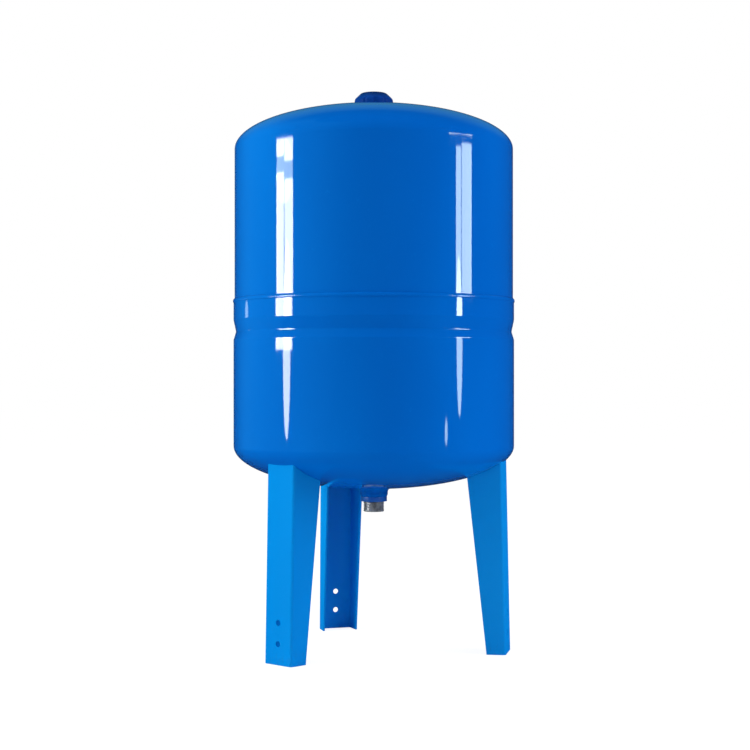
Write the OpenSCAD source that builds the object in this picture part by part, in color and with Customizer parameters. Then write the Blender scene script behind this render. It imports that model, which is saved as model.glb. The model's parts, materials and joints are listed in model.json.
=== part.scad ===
// Vertical diaphragm pressure tank on three legs.
// Two drawn steel shells lap at a welded seam. A rolled groove below the seam
// holds the rim of the diaphragm. The air valve is on top, under a screw cover,
// and the threaded water connection is at the bottom.
// Z is up, and the origin is on the tank's axis at floor level.

/* [Shells] */
// Outside diameter of the lower shell
shell_d = 450; // [420:1:500]
// Sheet thickness of both shells
sheet_t = 1.6; // [1.4:0.1:2]
// Height of the straight wall between the two domes
wall_h = 474; // [450:1:600]
// Depth of each semi-elliptical dome
dome_depth = 69; // [62:0.5:90]
// Height of the lower dome's lowest point above the floor
ground_gap = 257; // [240:1:300]

/* [Seam and groove] */
// Height of the lower shell's rim above its dome
rim_h = 230; // [215:1:250]
// Length of upper wall that goes down inside the rim
lap_h = 28; // [20:0.5:30]
// Gap all round between the upper wall and the rim
lap_gap = 0.1; // [0.05:0.05:0.3]
// Height of the seam's weld bead
bead_h = 8.6; // [6:0.1:10]
// How far the weld bead stands out past the rim
bead_out = 1.2; // [0.6:0.1:2]
// Clearance between the upper wall's lower edge and the groove
groove_clear = 1; // [0.5:0.5:8]
// Depth of the groove
groove_depth = 4; // [3.4:0.1:5]
// Height of the groove's upper flank
groove_up = 19; // [14:0.5:20]
// Height of the groove's lower flank
groove_down = 13; // [10:0.5:16]
// Bend radius inside the groove's folds
groove_bend = 5; // [3:0.5:6]

/* [Diaphragm side] */
// Gap between the lower shell, the liner and the diaphragm
seat_gap = 0.3; // [0.2:0.05:0.5]
// Wall of the plastic water liner
liner_t = 1.5; // [1.2:0.1:2]
// Thickness of the rubber diaphragm
rubber_t = 2.5; // [2:0.1:3]
// Radius of the round bead along the diaphragm's rim
rim_bead_r = 2.8; // [2.2:0.1:3]
// Sheet thickness of the clamp ring
clamp_t = 2; // [1.5:0.1:2.5]
// Height of the clamp ring
clamp_h = 28; // [26:0.5:32]

/* [Water connection] */
// Outside diameter of the male pipe thread
thread_d = 33.2; // [30:0.1:38]
// Length of the bare threaded end
thread_h = 15; // [12:0.5:20]
// Diameter of the water passage through the thread
passage_d = 25; // [20:0.5:26]
// Diameter of the round collar above the thread
collar_d = 42; // [40:0.5:46]
// Height of the round collar
collar_h = 8; // [6:0.5:10]
// Diameter of the shank that goes into the dome
shank_d = 35.6; // [34:0.1:38]
// Length of shank between the collar and the dome
shank_h = 13; // [9:0.5:16]
// Leg of the weld fillet round the shank
shank_weld = 8; // [5:0.5:9]
// Thickness of the inlet's sealing ring
seal_d = 1.96; // [1.6:0.02:2.2]

/* [Air valve] */
// Diameter of the boss's threaded neck
neck_d = 22; // [20:0.5:24]
// Height of the threaded neck above its flange
neck_h = 6; // [5:0.5:7]
// Diameter of the boss's flange
flange_d = 30; // [28:0.5:34]
// Thickness of the boss's flange
flange_h = 3; // [2:0.5:4]
// Diameter of the valve stem's outside thread
stem_d = 7.7; // [7.3:0.1:8]
// Length of the valve stem above its hexagon
stem_h = 8.6; // [7:0.1:9]
// Width of the valve's hexagon across its flats
hex_w = 12; // [11:0.5:14]
// Height of the hexagon
hex_h = 3; // [2.5:0.5:4]
// Diameter of the hole through the valve stem
stem_bore = 5.2; // [5:0.1:5.6]
// Diameter of the valve pin
pin_d = 1.9; // [1.6:0.1:2]
// Running gap all round the valve pin and the cover's socket
run_gap = 0.05; // [0.03:0.01:0.08]
// Number of turns of the valve spring
spring_turns = 5; // [4:1:6]

/* [Valve cover] */
// Diameter of the cover
cover_d = 62; // [58:0.5:70]
// Height of the cover's top above the dome
cover_h = 24; // [23.5:0.1:28]
// Radius of the cover's rounded shoulder
cover_round = 14; // [10:0.5:15]
// Wall of the cover
cover_t = 2; // [1.6:0.1:2.4]
// Number of grip flutes round the cover
flutes = 12; // [8:1:16]
// Depth of each grip flute
flute_depth = 0.9; // [0.5:0.1:1]
// Radius of each grip flute
flute_r = 5.5; // [4:0.5:7]

/* [Legs] */
// How far the leg's outer face stands inside the shell's outside at the floor
leg_inset = 7.5; // [6.5:0.1:20]
// Angle at which each leg leans in towards its top
leg_lean = 1.2; // [0:0.1:3]
// Width of the leg's web
leg_w = 57.5; // [50:0.5:64]
// Sheet thickness of the legs
leg_t = 3; // [2.5:0.1:4]
// Angle at which each flange opens from the web's square
flange_flare = 3; // [1:0.5:12]
// Bend radius inside the leg's two folds
leg_bend = 1.5; // [1:0.5:4]
// Depth of the leg at the floor
leg_foot_depth = 30.5; // [26:0.5:40]
// Depth of the leg where it meets the dome
leg_top_depth = 59.5; // [50:0.5:66]
// Diameter of the two fixing holes in each web
fix_d = 9; // [7:0.5:11]
// Height of the lower fixing hole above the floor
fix_h = 32; // [25:0.5:40]
// Distance between the two fixing holes
fix_pitch = 32; // [25:0.5:40]
// Radius of the weld beads that hold the legs
leg_bead_r = 3; // [2:0.5:4]

/* [Hidden] */
$fn = 96;

paint = [0.02, 0.38, 0.78];
leg_paint = [0.03, 0.5, 0.88];
steel = [0.55, 0.56, 0.58];
brass = [0.78, 0.62, 0.3];
rubber = [0.08, 0.08, 0.09];
plastic = [0.85, 0.86, 0.84];
navy = [0.02, 0.16, 0.42];

// The two shells: radii outside, and heights of the lines where the domes begin
lower_r = shell_d / 2;
upper_r = lower_r - sheet_t - lap_gap;
low_z = ground_gap + dome_depth;
high_z = low_z + wall_h;
dome_z = high_z + dome_depth;
rim_z = low_z + rim_h;
groove_z = rim_z - lap_h - groove_clear - groove_up;
arc_steps = 4;
// Steps round the large circles that cut small pieces
fine = 480;
legs = 3;

// The layers inside the lower shell, each one a gap in from the last
liner_r = lower_r - sheet_t - seat_gap;
liner_depth = dome_depth - sheet_t - seat_gap;
liner_top = groove_z - groove_down - 2;
rubber_r = liner_r - liner_t - seat_gap;
rubber_depth = liner_depth - liner_t - seat_gap;
rubber_fold = groove_depth - (lower_r - sheet_t - seat_gap - rubber_r);
clamp_r = rubber_r - rubber_t - seat_gap;
clamp_share = 3 / 7;
clamp_low = groove_z - clamp_h * clamp_share;
clamp_top = clamp_low + clamp_h;
rim_bead_c = upper_r - sheet_t - seat_gap - rim_bead_r;

// The water connection, from its open end upwards
collar_top = ground_gap - shank_h;
collar_low = collar_top - collar_h;
relief_h = 1.5;
thread_low = collar_low - thread_h - relief_h;
nipple_top = ground_gap + sheet_t;
socket_wall = 3.3;
socket_r = shank_d / 2 - socket_wall;
socket_low = collar_low + 3;
spout_r = socket_r - seat_gap;
spout_bore = spout_r - 3.2;
spout_low = socket_low + 1;
spout_groove_r = socket_r - seal_d - 0.04;
seal_z = ground_gap - shank_h / 2;

// The air valve, from the dome upwards
flange_top = dome_z + flange_h;
neck_top = flange_top + neck_h;
hex_top = neck_top + hex_h;
stem_top = hex_top + stem_h;
boss_reach = 7;
boss_low = dome_z - boss_reach;
boss_shank_r = neck_d / 2 - 0.1;
screw_r = stem_d / 2 + 1;
screw_low = boss_low - 2;
stem_seal_d = 1.2;
barrel_r = stem_bore / 2 - run_gap;
barrel_top = stem_top - 1;
barrel_h = 14.5;
barrel_low = barrel_top - barrel_h;
guide_top = barrel_low + 4;
pin_r = pin_d / 2;
guide_r = pin_r + run_gap;
spring_room_r = barrel_r - 0.6;
pin_top = stem_top - 0.3;
pin_head_r = spring_room_r - 0.1;
pin_head_z = barrel_top - 2;
pin_head_h = 0.8;
cup_r = barrel_r - 0.25;
cup_h = 1.5;
core_seal_h = 1.5;
spring_wire = 0.4;
spring_r = (pin_r + spring_room_r) / 2;

// The valve cover
cover_r = cover_d / 2;
cover_low = dome_z - dome_drop(cover_r - cover_t) + seat_gap;
cover_top = dome_z + cover_h;
cover_crown = 0.8;
socket_in = neck_d / 2 + run_gap;
socket_out = socket_in + 2;
rib_t = 1.6;
ribs = 4;

// The legs, from the floor up
leg_r = lower_r - leg_inset;
leg_long = low_z + 10;
leg_angles = [for (i = [0:legs - 1]) 90 + i * 360 / legs];
flange_long = (leg_top_depth + 12) / cos(flange_flare);
leg_bead_gap = seat_gap / 2;

// How far the dome falls below its top at a distance from the axis
function dome_drop(r) = dome_depth * (1 - sqrt(1 - pow(r / upper_r, 2)));

function unit(v) = v / norm(v);
function reversed(list) = [for (i = [len(list) - 1:-1:0]) list[i]];
function turns_left(a, p, b) = cross(p - a, b - p) > 0;

// Points of an arc about c, from angle a0 to angle a1
function arc(c, r, a0, a1) =
    [for (i = [0:arc_steps])
        let (a = a0 + (a1 - a0) * i / arc_steps) c + r * [cos(a), sin(a)]];

// The corner p between a and b, rounded to radius r
function corner(a, p, b, r) =
    let (u = unit(a - p),
         v = unit(b - p),
         half = acos(u * v) / 2,
         c = p + unit(u + v) * r / sin(half),
         start = p + u * r / tan(half) - c,
         a0 = atan2(start[1], start[0]),
         turn = (turns_left(a, p, b) ? 1 : -1) * (180 - 2 * half))
    arc(c, r, a0, a0 + turn);

// An open path with each inner corner rounded
function rounded(path, radii) =
    let (last = len(path) - 1)
    [path[0],
     for (i = [1:last - 1]) each corner(path[i - 1], path[i], path[i + 1], radii[i - 1]),
     path[last]];

function left_of(a, b) = let (d = unit(b - a)) [-d[1], d[0]];

// The path moved to its left by t
function beside(path, t) =
    let (last = len(path) - 1)
    [for (i = [0:last])
        let (before = max(i - 1, 0),
             after = min(i, last - 1),
             n0 = left_of(path[before], path[before + 1]),
             n1 = left_of(path[after], path[after + 1]),
             m = unit(n0 + n1))
        path[i] + m * t / (m * n0)];

// Outline of a bent sheet of thickness t that lies to the left of the path
function sheet(path, t, bend) =
    let (near = [for (i = [1:len(path) - 2])
                    turns_left(path[i - 1], path[i], path[i + 1]) ? bend + t : bend],
         far = [for (r = near) 2 * bend + t - r])
    concat(rounded(path, near), reversed(rounded(beside(path, t), far)));

// A wall of radius r from z0 to z1 with the rolled groove in it
function grooved(r, depth, z0, z1) =
    let (share = depth / groove_depth)
    [[r, z0],
     [r, groove_z - groove_down * share],
     [r - depth, groove_z],
     [r, groove_z + groove_up * share],
     [r, z1]];

// Section of a semi-elliptical dome's wall, open in the middle to hole_r
module dome_wall(r, depth, t, hole_r = 0) {
    difference() {
        intersection() {
            scale([1, depth / r]) circle(r = r);
            translate([hole_r, 0]) square([r, depth + 1]);
        }
        scale([1, (depth - t) / (r - t)]) circle(r = r - t);
    }
}

// Solid form of the lower shell, grown all over, for cutting what meets it
module lower_form(grow) {
    r = lower_r + grow;
    rotate_extrude($fn = fine) translate([0, low_z]) {
        intersection() {
            scale([1, (dome_depth + grow) / r]) circle(r = r, $fn = fine);
            translate([0, -r]) square([r + 1, r]);
        }
        square([r, leg_long - low_z + 5]);
    }
}

module upper_shell() {
    color(paint) rotate_extrude() {
        translate([0, high_z]) dome_wall(upper_r, dome_depth, sheet_t, neck_d / 2);
        translate([upper_r - sheet_t, rim_z - lap_h]) square([sheet_t, high_z - rim_z + lap_h]);
    }
}

module lower_shell() {
    color(paint) rotate_extrude() {
        translate([0, low_z]) mirror([0, 1])
            dome_wall(lower_r, dome_depth, sheet_t, shank_d / 2 + lap_gap);
        polygon(sheet(grooved(lower_r, groove_depth, low_z, rim_z), sheet_t, groove_bend));
    }
}

// Lap weld along the rim: a low crown that covers the edge and runs onto both walls
module seam_weld() {
    out = lower_r + bead_out - upper_r;
    bead_r = (pow(bead_h / 2, 2) + out * out) / (2 * out);
    color(paint) rotate_extrude() difference() {
        intersection() {
            translate([upper_r + out - bead_r, rim_z + 1]) circle(r = bead_r);
            translate([upper_r, rim_z - bead_h]) square([2 * out, 2 * bead_h]);
        }
        translate([upper_r - 1, rim_z - 2 * bead_h]) square([1 + lower_r - upper_r, 2 * bead_h]);
    }
}

module diaphragm() {
    color(rubber) rotate_extrude() {
        translate([0, low_z]) mirror([0, 1]) dome_wall(rubber_r, rubber_depth, rubber_t);
        polygon(sheet(grooved(rubber_r, rubber_fold, low_z, clamp_top + rim_bead_r), rubber_t,
                      groove_bend));
        translate([rim_bead_c, clamp_top + seat_gap + rim_bead_r]) circle(r = rim_bead_r);
    }
}

module clamp_ring() {
    color(steel) rotate_extrude()
        polygon(sheet(grooved(clamp_r, rubber_fold, clamp_low, clamp_top), clamp_t, groove_bend));
}

// Plastic bowl that keeps the water off the steel, with a spout into the nipple
module water_liner() {
    seal_room = seal_d + 0.6;
    color(plastic) rotate_extrude() difference() {
        union() {
            translate([0, low_z]) mirror([0, 1]) dome_wall(liner_r, liner_depth, liner_t, spout_bore);
            translate([liner_r - liner_t, low_z]) square([liner_t, liner_top - low_z]);
            translate([spout_bore, spout_low])
                square([spout_r - spout_bore, low_z - liner_depth + liner_t / 2 - spout_low]);
        }
        translate([spout_groove_r, seal_z - seal_room / 2]) square([5, seal_room]);
    }
}

module water_nipple() {
    bevel = 1.2;
    thread_r = thread_d / 2;
    color(steel) rotate_extrude() polygon([
        [passage_d / 2, thread_low],
        [thread_r - bevel, thread_low],
        [thread_r, thread_low + bevel],
        [thread_r, thread_low + thread_h],
        [thread_r - bevel, thread_low + thread_h],
        [thread_r - bevel, collar_low],
        [collar_d / 2 - bevel, collar_low],
        [collar_d / 2, collar_low + bevel],
        [collar_d / 2, collar_top - bevel],
        [collar_d / 2 - bevel, collar_top],
        [shank_d / 2, collar_top],
        [shank_d / 2, nipple_top],
        [socket_r, nipple_top],
        [socket_r, socket_low],
        [passage_d / 2, socket_low]]);
}

module nipple_weld() {
    color(paint) rotate_extrude() difference() {
        polygon([
            [shank_d / 2, ground_gap - shank_weld],
            [shank_d / 2 + shank_weld * 0.3, ground_gap - shank_weld * 0.45],
            [shank_d / 2 + shank_weld, ground_gap],
            [shank_d / 2 + shank_weld, ground_gap + 2],
            [shank_d / 2, ground_gap + 2]]);
        translate([0, low_z]) scale([1, (dome_depth + lap_gap) / (lower_r + lap_gap)])
            circle(r = lower_r + lap_gap, $fn = fine);
    }
}

module inlet_seal() {
    color(rubber) rotate_extrude()
        translate([socket_r - 0.02 - seal_d / 2, seal_z]) circle(r = seal_d / 2);
}

module valve_boss() {
    color(steel) rotate_extrude() polygon([
        [screw_r + run_gap, boss_low],
        [boss_shank_r, boss_low],
        [boss_shank_r, dome_z],
        [flange_d / 2, dome_z],
        [flange_d / 2, flange_top],
        [neck_d / 2, flange_top],
        [neck_d / 2, neck_top - 0.6],
        [neck_d / 2 - 0.6, neck_top],
        [screw_r + stem_seal_d, neck_top],
        [screw_r + stem_seal_d, neck_top - stem_seal_d],
        [screw_r + run_gap, neck_top - stem_seal_d]]);
}

module boss_weld() {
    foot = flange_h * 0.9;
    color(paint) rotate_extrude() polygon([
        [flange_d / 2, dome_z],
        [flange_d / 2 + foot, dome_z],
        [flange_d / 2 + foot * 0.4, dome_z + foot * 0.4],
        [flange_d / 2, dome_z + foot]]);
}

module stem_seal() {
    color(rubber) rotate_extrude()
        translate([screw_r + stem_seal_d / 2, neck_top - stem_seal_d / 2])
            circle(r = stem_seal_d / 2 - 0.02);
}

module valve_stem() {
    color(brass) difference() {
        union() {
            translate([0, 0, screw_low]) cylinder(r = screw_r, h = neck_top - screw_low);
            translate([0, 0, neck_top]) cylinder(d = hex_w / cos(30), h = hex_h, $fn = 6);
            translate([0, 0, hex_top]) cylinder(d = stem_d, h = stem_h - 0.5);
            translate([0, 0, stem_top - 0.5]) cylinder(d = stem_d - 1, h = 0.5);
        }
        translate([0, 0, screw_low - 1]) cylinder(d = stem_bore, h = stem_top - screw_low + 2);
    }
}

// Sleeve of the valve core, with a guide for the pin below and room for its spring above
module core_barrel() {
    color(brass) rotate_extrude() polygon([
        [guide_r, barrel_low],
        [barrel_r, barrel_low],
        [barrel_r, barrel_top],
        [spring_room_r, barrel_top],
        [spring_room_r, guide_top],
        [guide_r, guide_top]]);
}

module core_pin() {
    cup_top = barrel_low - core_seal_h;
    color(brass) rotate_extrude() polygon([
        [0, cup_top - cup_h],
        [cup_r, cup_top - cup_h],
        [cup_r, cup_top],
        [pin_r, cup_top],
        [pin_r, pin_head_z],
        [pin_head_r, pin_head_z],
        [pin_head_r, pin_head_z + pin_head_h],
        [pin_r, pin_head_z + pin_head_h],
        [pin_r, pin_top],
        [0, pin_top]]);
}

module core_seal() {
    color(rubber) rotate_extrude()
        translate([pin_r, barrel_low - core_seal_h]) square([cup_r - pin_r, core_seal_h - 0.02]);
}

// Coil of round wire between the barrel's step and the pin's head
module core_spring() {
    low = guide_top + spring_wire / 2 + 0.02;
    high = pin_head_z - spring_wire / 2 - 0.02;
    steps = spring_turns * 16;
    sides = 8;
    ring = [for (i = [0:steps], j = [0:sides - 1])
        let (t = i * spring_turns * 360 / steps,
             a = j * 360 / sides,
             r = spring_r + spring_wire / 2 * cos(a))
        [r * cos(t), r * sin(t), low + (high - low) * i / steps + spring_wire / 2 * sin(a)]];
    walls = [for (i = [0:steps - 1], j = [0:sides - 1])
        let (k = (j + 1) % sides)
        [i * sides + j, i * sides + k, (i + 1) * sides + k, (i + 1) * sides + j]];
    color(steel) polyhedron(ring, concat(walls,
        [[for (j = [sides - 1:-1:0]) j]],
        [[for (j = [0:sides - 1]) steps * sides + j]]));
}

// Outline of the cover's outside, from its rim to its middle
function cover_path() =
    [[cover_r, cover_low], [cover_r, cover_top - cover_crown], [0, cover_top]];

// Solid form inside the cover's skin, for trimming its socket and ribs
module cover_inside() {
    inset = cover_t / 2;
    rotate_extrude() intersection() {
        polygon(concat(rounded(beside(cover_path(), inset), [cover_round - inset]),
                       [[0, cover_low]]));
        square([cover_r, cover_top]);
    }
}

// Moulded cover with grip flutes, a socket that fits the boss's neck, and ribs between
module valve_cover() {
    color(navy) difference() {
        union() {
            rotate_extrude() intersection() {
                polygon(sheet(cover_path(), cover_t, cover_round - cover_t));
                square([cover_r, cover_top]);
            }
            intersection() {
                cover_inside();
                translate([0, 0, flange_top + seat_gap]) difference() {
                    union() {
                        cylinder(r = socket_out, h = cover_h);
                        for (i = [0:ribs - 1]) rotate([0, 0, i * 360 / ribs])
                            translate([socket_in + 1, -rib_t / 2, 0])
                                cube([cover_r, rib_t, cover_h]);
                    }
                    translate([0, 0, -1])
                        cylinder(r = socket_in, h = cover_top - cover_t - flange_top - seat_gap + 1);
                }
            }
        }
        for (i = [0:flutes - 1]) rotate([0, 0, (i + 0.5) * 360 / flutes])
            translate([cover_r + flute_r - flute_depth, 0, cover_low - 1])
                cylinder(r = flute_r, h = cover_h + 10);
    }
}

// Channel of bent sheet that stands on the floor, cut to the dome's curve at its top
module leg(angle) {
    tip = flange_long * [-cos(flange_flare), sin(flange_flare)];
    half = leg_w / 2;
    channel = [[tip[0], -half - tip[1]], [0, -half], [0, half], [tip[0], half + tip[1]]];
    foot_tip = leg_r - leg_foot_depth;
    dome_tip = leg_r - low_z * tan(leg_lean) - leg_top_depth;
    color(leg_paint) rotate([0, 0, angle]) difference() {
        translate([leg_r, 0, 0]) rotate([0, -leg_lean, 0]) difference() {
            translate([0, 0, -10]) linear_extrude(height = leg_long)
                polygon(sheet(channel, leg_t, leg_bend));
            for (i = [0:1]) translate([1, 0, fix_h + i * fix_pitch]) rotate([0, -90, 0])
                cylinder(d = fix_d, h = leg_t + 2);
        }
        translate([0, -leg_w, -50]) cube([shell_d, 2 * leg_w, 50]);
        translate([0, leg_w * 1.5, 0]) rotate([90, 0, 0]) linear_extrude(height = leg_w * 3)
            polygon([[0, -60], [foot_tip + 60 * (foot_tip - dome_tip) / low_z, -60],
                     [dome_tip, low_z], [0, low_z]]);
        lower_form(leg_bead_gap);
    }
}

module leg_1() { leg(leg_angles[0]); }
module leg_2() { leg(leg_angles[1]); }
module leg_3() { leg(leg_angles[2]); }

// A run of weld in the corner between each web and the dome, inside the channel
module leg_welds() {
    span = 8;
    web_in = leg_r - low_z * tan(leg_lean) - leg_t;
    bead_z = low_z - dome_depth * sqrt(1 - pow((web_in - leg_bead_r) / lower_r, 2));
    color(leg_paint) for (angle = leg_angles) difference() {
        rotate([0, 0, angle - span / 2]) rotate_extrude(angle = span, $fn = fine)
            translate([web_in - leg_bead_r - seat_gap, bead_z]) circle(r = leg_bead_r);
        lower_form(leg_bead_gap);
    }
}

upper_shell();
lower_shell();
seam_weld();
diaphragm();
clamp_ring();
water_liner();
water_nipple();
nipple_weld();
inlet_seal();
valve_boss();
boss_weld();
stem_seal();
valve_stem();
core_barrel();
core_pin();
core_seal();
core_spring();
valve_cover();
leg_1();
leg_2();
leg_3();
leg_welds();
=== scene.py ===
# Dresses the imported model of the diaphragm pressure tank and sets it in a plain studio.
import json
import math

import bpy
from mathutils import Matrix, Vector, noise


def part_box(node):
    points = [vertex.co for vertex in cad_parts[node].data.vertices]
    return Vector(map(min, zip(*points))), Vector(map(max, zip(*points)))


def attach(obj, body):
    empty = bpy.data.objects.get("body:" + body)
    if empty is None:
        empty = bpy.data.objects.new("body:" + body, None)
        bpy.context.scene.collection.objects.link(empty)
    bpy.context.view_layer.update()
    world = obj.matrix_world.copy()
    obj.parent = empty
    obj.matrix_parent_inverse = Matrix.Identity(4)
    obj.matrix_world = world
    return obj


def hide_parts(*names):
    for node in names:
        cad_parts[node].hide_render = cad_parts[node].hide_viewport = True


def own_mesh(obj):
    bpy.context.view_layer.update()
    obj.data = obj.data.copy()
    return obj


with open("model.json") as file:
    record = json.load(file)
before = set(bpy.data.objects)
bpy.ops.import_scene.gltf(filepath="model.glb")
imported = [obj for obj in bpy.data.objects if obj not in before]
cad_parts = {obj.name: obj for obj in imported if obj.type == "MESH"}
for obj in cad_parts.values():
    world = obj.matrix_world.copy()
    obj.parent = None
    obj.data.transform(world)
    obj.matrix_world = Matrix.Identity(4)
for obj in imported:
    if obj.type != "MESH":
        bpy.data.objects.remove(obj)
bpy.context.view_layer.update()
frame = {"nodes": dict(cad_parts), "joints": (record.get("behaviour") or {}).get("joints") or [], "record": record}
cadNodes = frame["nodes"]
mm = 0.001
print("frame loaded with", len(cadNodes), "nodes")


# Materials: sums on node outputs are written as plain expressions
class Value:
    def __init__(self, tree, socket):
        self.tree = tree
        self.socket = socket

    def work(self, operation, *terms):
        return self.tree.add("ShaderNodeMath", {"operation": operation}, dict(enumerate(terms)))

    def __add__(self, other):
        return self.work("ADD", self, other)

    def __radd__(self, other):
        return self.work("ADD", other, self)

    def __sub__(self, other):
        return self.work("SUBTRACT", self, other)

    def __rsub__(self, other):
        return self.work("SUBTRACT", other, self)

    def __mul__(self, other):
        return self.work("MULTIPLY", self, other)

    def __rmul__(self, other):
        return self.work("MULTIPLY", other, self)

    def largest(self, other):
        return self.work("MAXIMUM", self, other)

    def ramp(self, low, high):
        # 0 at low and below, 1 at high and above
        return self.tree.add(
            "ShaderNodeMapRange",
            {"interpolation_type": "SMOOTHSTEP"},
            {"Value": self, "From Min": low, "From Max": high},
        )


class Tree:
    def __init__(self, owner):
        owner.use_nodes = True
        self.nodes = owner.node_tree.nodes
        self.links = owner.node_tree.links

    def add(self, kind, settings=None, inputs=None, output=0):
        made = self.nodes.new(kind)
        for name, value in (settings or {}).items():
            setattr(made, name, value)
        for name, value in (inputs or {}).items():
            self.give(made.inputs[name], value)
        return Value(self, made.outputs[output])

    def give(self, socket, value):
        if isinstance(value, Value):
            self.links.new(value.socket, socket)
        else:
            socket.default_value = value

    def place(self, stretch=(1, 1, 1)):
        coordinates = self.add("ShaderNodeTexCoord", output="Object")
        return self.add("ShaderNodeMapping", {}, {"Vector": coordinates, "Scale": stretch})

    def height(self):
        return self.add("ShaderNodeSeparateXYZ", {}, {"Vector": self.place()}, "Z")

    def along(self, direction):
        # How far a point lies along a direction from the tank's axis
        made = self.nodes.new("ShaderNodeVectorMath")
        made.operation = "DOT_PRODUCT"
        self.give(made.inputs[0], self.place())
        made.inputs[1].default_value = direction
        return Value(self, made.outputs["Value"])

    def cloud(self, scale, detail=3, rough=0.5, stretch=(1, 1, 1)):
        return self.add(
            "ShaderNodeTexNoise",
            {},
            {"Vector": self.place(stretch), "Scale": scale, "Detail": detail, "Roughness": rough},
        )

    def blend(self, factor, first, second):
        # Mix node in colour mode: its sockets share names, so they are given by number
        made = self.nodes.new("ShaderNodeMix")
        made.data_type = "RGBA"
        self.give(made.inputs[0], factor)
        self.give(made.inputs[6], (*first, 1) if isinstance(first, tuple) else first)
        self.give(made.inputs[7], (*second, 1) if isinstance(second, tuple) else second)
        return Value(self, made.outputs[2])

    def bump(self, height, distance, strength=1, under=None):
        inputs = {"Height": height, "Distance": distance, "Strength": strength}
        if under:
            inputs["Normal"] = under
        return self.add("ShaderNodeBump", {}, inputs)


def makeFinish(name, constants):
    material = bpy.data.materials.new(name)
    tree = Tree(material)
    tree.shader = tree.nodes["Principled BSDF"]
    for socket, value in constants.items():
        tree.shader.inputs[socket].default_value = value
    return material, tree


def dress(tree, **changing):
    sockets = {"colour": "Base Color", "roughness": "Roughness", "metallic": "Metallic",
               "coat": "Coat Weight", "normal": "Normal"}
    for name, value in changing.items():
        tree.give(tree.shader.inputs[sockets[name]], value)


tankPaintLook = {
    "deep": (0.0, 0.115, 0.56),
    "light": (0.0, 0.143, 0.64),
    "speck": (0.01, 0.24, 0.8),
    "peel": 0.00003,
    "wave": 0.0004,
    "coatRoughness": 0.035,
}


def paintParts(tree, look):
    # Sprayed enamel: slow colour drift, fine orange peel and the sheet's long waves below it
    drift = tree.cloud(3.5, 2, 0.5, (1, 1, 0.4)).ramp(0.3, 0.7)
    specks = tree.cloud(140, 4, 0.6).ramp(0.62, 0.75)
    colour = tree.blend(drift, look["deep"], look["light"])
    colour = tree.blend(specks * 0.12, colour, look["speck"])
    waves = tree.cloud(5, 2, 0.5, (2.2, 2.2, 0.35))
    peel = tree.cloud(420, 2, 0.5)
    normal = tree.bump(waves, look["wave"])
    normal = tree.bump(peel, look["peel"], 1, normal)
    roughness = 0.32 + 0.12 * tree.cloud(30, 4, 0.6)
    return colour, roughness, normal


def tankPaint():
    material, tree = makeFinish("tankPaint", {
        "Coat Weight": 1.0, "Coat Roughness": tankPaintLook["coatRoughness"],
        "Specular IOR Level": 0.0})
    colour, roughness, normal = paintParts(tree, tankPaintLook)
    dress(tree, colour=colour, roughness=roughness, normal=normal)
    return material


legPaintLook = {
    "deep": (0.0, 0.22, 0.72),
    "light": (0.002, 0.26, 0.79),
    "speck": (0.01, 0.24, 0.8),
    "scuff": (0.02, 0.12, 0.4),
    "scuffTop": 30 * mm,
    "coat": 0.15,
    "peel": 0.00006,
    "wave": 0.0003,
    "coatRoughness": 0.16,
}


def legPaint():
    material, tree = makeFinish("legPaint", {
        "Coat Weight": legPaintLook["coat"], "Coat Roughness": legPaintLook["coatRoughness"],
        "Specular IOR Level": 0.0})
    colour, roughness, normal = paintParts(tree, legPaintLook)
    # Paint lies thin near the floor and picks up scuffs there
    low = 1 - tree.height().ramp(0.0, legPaintLook["scuffTop"])
    scuffs = low * tree.cloud(220, 5, 0.7, (1, 1, 0.3)).ramp(0.5, 0.62)
    colour = tree.blend(scuffs * 0.25, colour, legPaintLook["scuff"])
    dress(tree, colour=colour, roughness=roughness + 0.2 * scuffs, normal=normal)
    return material


nippleLook = {
    "paintLine": 235.4 * mm,
    "paintEdge": 0.2 * mm,
    "ragged": 1.2 * mm,
    "bare": (0.62, 0.61, 0.6),
    "dark": (0.3, 0.285, 0.28),
}


def nippleSteel():
    # Bare turned steel below a ragged paint line, the tank's paint above it
    look = nippleLook
    material, tree = makeFinish("nippleSteel", {"Coat Roughness": 0.06, "Specular IOR Level": 0.4})
    colour, roughness, normal = paintParts(tree, tankPaintLook)
    ragged = tree.height() + look["ragged"] * (tree.cloud(260, 3, 0.6) - 0.5)
    painted = ragged.ramp(look["paintLine"] - look["paintEdge"],
                          look["paintLine"] + look["paintEdge"])
    stains = tree.cloud(130, 5, 0.65, (1, 1, 0.5)).ramp(0.42, 0.66)
    bare = tree.blend(stains, look["bare"], look["dark"])
    tooling = tree.cloud(60, 3, 0.5, (0.3, 0.3, 60))
    normal = tree.bump(tooling, 0.00003, 1, normal)
    dress(tree, colour=tree.blend(painted, bare, colour), metallic=0.6 * (1 - painted),
          coat=painted, roughness=0.34 + 0.15 * stains * (1 - painted), normal=normal)
    return material


plainSteelLook = {"clean": (0.52, 0.53, 0.55), "dull": (0.34, 0.34, 0.35)}


def plainSteel():
    material, tree = makeFinish("plainSteel", {"Metallic": 1.0})
    dull = tree.cloud(45, 5, 0.6).ramp(0.35, 0.7)
    rolled = tree.cloud(14, 4, 0.6, (1, 1, 40))
    dress(tree, colour=tree.blend(dull, plainSteelLook["clean"], plainSteelLook["dull"]),
          roughness=0.3 + 0.25 * dull, normal=tree.bump(rolled, 0.00003))
    return material


brassLook = {"clean": (0.72, 0.5, 0.19), "dull": (0.42, 0.27, 0.09)}


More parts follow.
